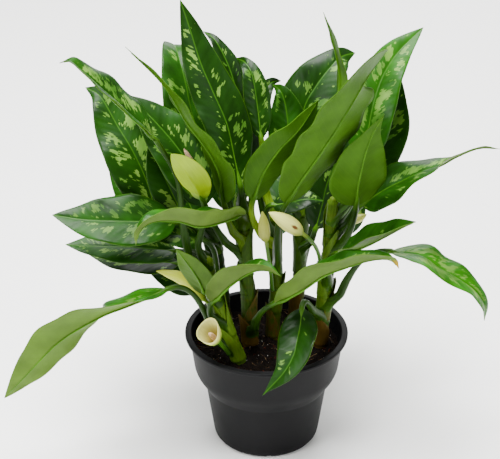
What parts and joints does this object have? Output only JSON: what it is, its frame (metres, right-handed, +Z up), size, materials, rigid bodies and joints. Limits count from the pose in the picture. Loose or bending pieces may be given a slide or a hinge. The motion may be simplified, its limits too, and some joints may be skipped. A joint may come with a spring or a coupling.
{
  "type": "potted aglaonema",
  "caption": "Chinese evergreen with camouflage-patterned leaves on canes and small spathes, growing in a round plastic nursery pot filled with soil.",
  "frame": {"origin": "centre of the pot's underside, on the surface it stands on", "axes": "+Z up, -Y towards the front, +X to the right seen from the front"},
  "size_m": [0.494, 0.306, 0.472],
  "materials": {
    "pot": "satin",
    "soil": "matte",
    "cane": "matte",
    "leaf": "satin",
    "spathe": "satin",
    "spadix": "matte"
  },
  "bodies": {
    "root": {"pot": "pot", "soil": "soil", "cane_a": "cane", "cane_b": "cane", "cane_c": "cane", "cane_d": "cane", "cane_e": "cane", "cane_f": "cane", "leaf_a1": "leaf", "leaf_a2": "leaf", "leaf_a3": "leaf", "leaf_a4": "leaf", "leaf_b1": "leaf", "leaf_b2": "leaf", "leaf_b3": "leaf", "leaf_b4": "leaf", "leaf_b5": "leaf", "leaf_b6": "leaf", "leaf_b7": "leaf", "leaf_c1": "leaf", "leaf_c2": "leaf", "leaf_c3": "leaf", "leaf_c4": "leaf", "leaf_c5": "leaf", "leaf_c6": "leaf", "leaf_c7": "leaf", "leaf_c8": "leaf", "leaf_d1": "leaf", "leaf_d2": "leaf", "leaf_d3": "leaf", "leaf_d4": "leaf", "leaf_d5": "leaf", "leaf_d6": "leaf", "leaf_b8": "leaf", "leaf_e1": "leaf", "leaf_e2": "leaf", "leaf_e3": "leaf", "leaf_e4": "leaf", "leaf_e5": "leaf", "leaf_e6": "leaf", "leaf_f1": "leaf", "leaf_f2": "leaf", "leaf_f3": "leaf", "leaf_f4": "leaf", "leaf_f5": "leaf", "leaf_f6": "leaf", "leaf_f7": "leaf", "leaf_f8": "leaf", "leaf_f9": "leaf", "spathe_a3": "spathe", "spathe_c1": "spathe", "spathe_c2": "spathe", "spathe_e1": "spathe", "spathe_a1": "spathe", "spadix_a1": "spadix", "spathe_a2": "spathe", "spadix_a2": "spadix"}
  },
  "joints": []
}
